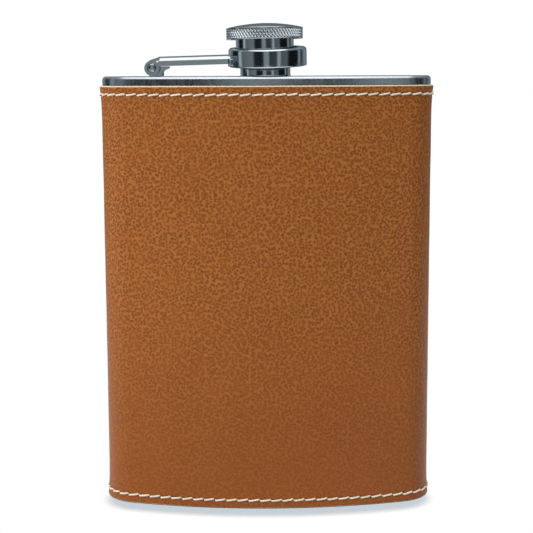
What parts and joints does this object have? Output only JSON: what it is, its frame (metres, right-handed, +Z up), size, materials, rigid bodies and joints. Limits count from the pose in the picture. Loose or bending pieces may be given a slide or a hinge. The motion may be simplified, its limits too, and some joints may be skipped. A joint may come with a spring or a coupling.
{
  "type": "hip flask",
  "caption": "Curved pocket flask of stainless steel in a stitched leather wrap, with a screw cap held captive by a hinged arm.",
  "frame": {"origin": "middle of the flask's footprint, on the surface it stands on", "axes": "+Z up through the neck, -Y out of the convex front that shows in the picture, +X to the right of someone facing that front, away from the hinge"},
  "size_m": [0.0966, 0.028, 0.1425],
  "materials": {
    "body_steel": "satin",
    "fitting_steel": "polished",
    "wrap_leather": "satin",
    "lining_fabric": "matte",
    "sewing_thread": "matte",
    "seal_silicone": "matte"
  },
  "bodies": {
    "flask": {"body_shell": "body_steel", "top_plate": "body_steel", "bottom_plate": "body_steel", "leather_wrap": "wrap_leather", "wrap_lining": "lining_fabric", "top_stitching": "sewing_thread", "bottom_stitching": "sewing_thread", "back_seam_thread": "sewing_thread", "neck_spout": "fitting_steel", "hinge_bracket": "fitting_steel", "hinge_pin": "fitting_steel"},
    "arm": {"arm_strap": "fitting_steel", "collar_ring": "fitting_steel"},
    "retainer": {"retaining_clip": "fitting_steel"},
    "cap": {"threaded_sleeve": "fitting_steel", "seal_disc": "seal_silicone", "cap_head": "fitting_steel"}
  },
  "joints": [
    {"name": "arm_swing", "type": "hinge", "parent": "flask", "child": "arm", "pos_m": [-0.0327, -0.00282, 0.1301], "axis": [0, -1, 0], "range_deg": [0, 150]},
    {"name": "cap_lift", "type": "slide", "parent": "arm", "child": "retainer", "axis": [-0.0175, 0, 0.9998], "range_m": [0, 0.00241]},
    {"name": "cap_turn", "type": "hinge", "parent": "retainer", "child": "cap", "pos_m": [-0.00047, -0.00282, 0.1376], "axis": [-0.0175, 0, 0.9998], "range_deg": [0, 540]}
  ],
  "couplings": [
    {"joint": "cap_lift", "follows": "cap_turn", "m_per_rad": 0.00025465}
  ]
}
